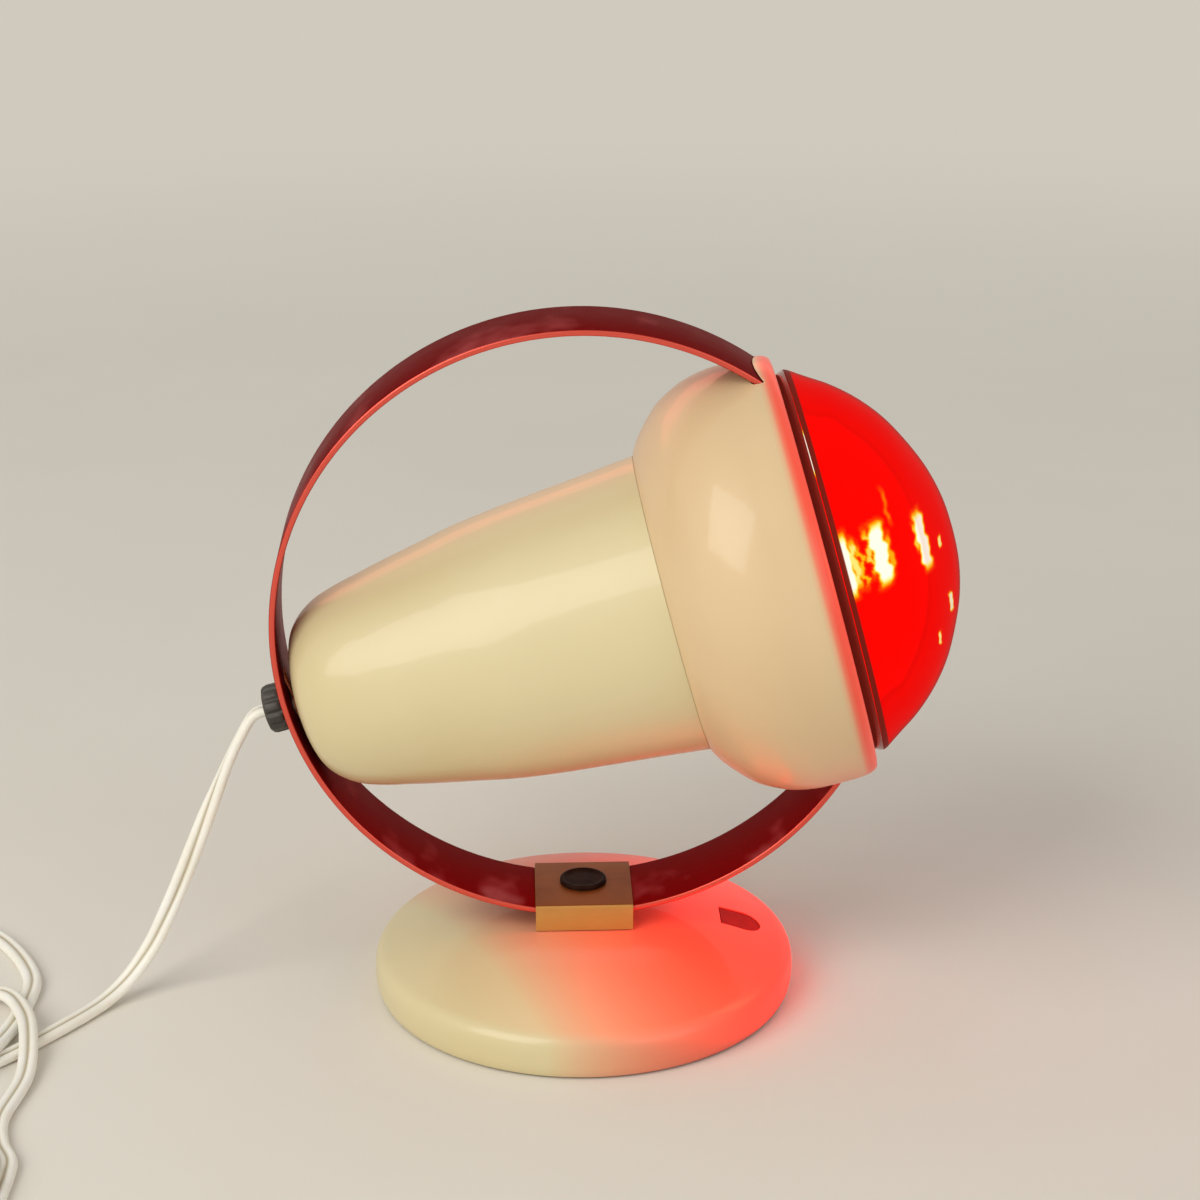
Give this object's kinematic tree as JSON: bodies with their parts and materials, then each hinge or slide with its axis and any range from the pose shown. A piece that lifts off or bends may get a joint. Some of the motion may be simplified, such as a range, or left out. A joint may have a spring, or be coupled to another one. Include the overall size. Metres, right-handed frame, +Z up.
{
  "type": "infrared heat therapy lamp",
  "caption": "Table heat lamp: red reflector bulb in a cream two-part housing, carried by a round maroon steel strap gripped in a clamp on a domed round base, with flat twin cord.",
  "frame": {"origin": "centre of the base's underside, on the table", "axes": "+Z up, +X the way the lamp shines, +Y across the strap"},
  "size_m": [0.3942, 0.2435, 0.231],
  "materials": {
    "cream_enamel": "gloss",
    "maroon_enamel": "gloss",
    "brass": "satin",
    "steel": "satin",
    "cast_iron": "matte",
    "felt": "matte",
    "black_plastic": "satin",
    "copper": "satin",
    "porcelain": "gloss",
    "red_glass": "gloss",
    "mirrored_glass": "polished",
    "clear_glass": "gloss",
    "filament": "satin",
    "cream_plastic": "satin"
  },
  "bodies": {
    "base": {"base_shell": "cream_enamel", "base_ballast": "cast_iron", "base_felt": "felt", "base_cover": "steel", "base_screw_1": "steel", "base_screw_2": "steel", "base_screw_3": "steel", "base_inlay": "maroon_enamel", "clamp_cover": "brass", "clamp_floor": "steel", "clamp_leaf_spring": "steel", "clamp_friction_pad": "felt", "clamp_badge": "black_plastic", "clamp_bolt": "steel", "clamp_washer": "steel", "clamp_key_1": "steel", "clamp_key_2": "steel", "cord_run": "cream_plastic", "cord_coil": "cream_plastic", "plug_body": "cream_plastic", "plug_pin_1": "steel", "plug_pin_2": "steel"},
    "ring": {"strap": "maroon_enamel", "rear_housing": "cream_enamel", "front_bell": "cream_enamel", "nipple_tube": "steel", "earth_tag": "copper", "gland_washer": "steel", "gland_nut": "black_plastic", "lock_nut": "steel", "bracket_nut": "steel", "holder_bracket": "steel", "holder_body": "porcelain", "holder_sleeve": "brass", "holder_contact": "brass", "holder_screw_1": "steel", "holder_screw_2": "steel", "lead_wire_1": "cream_plastic", "lead_wire_2": "cream_plastic"},
    "bulb": {"bulb_reflector": "mirrored_glass", "bulb_front_glass": "red_glass", "bulb_cap": "steel", "bulb_cap_insulator": "black_plastic", "bulb_contact": "steel", "bulb_stem": "clear_glass", "filament_support_1": "steel", "filament_support_2": "steel", "filament": "filament"}
  },
  "joints": [
    {"name": "ring_tilt", "type": "hinge", "parent": "base", "child": "ring", "pos_m": [0, 0, 0.131], "axis": [0, 1, 0], "range_deg": [-40, 44], "deforming": ["cord_run"]},
    {"name": "bulb", "type": "slide", "parent": "ring", "child": "bulb", "axis": [0.9664, 0, 0.2571], "range_m": [0, 0.14]}
  ]
}
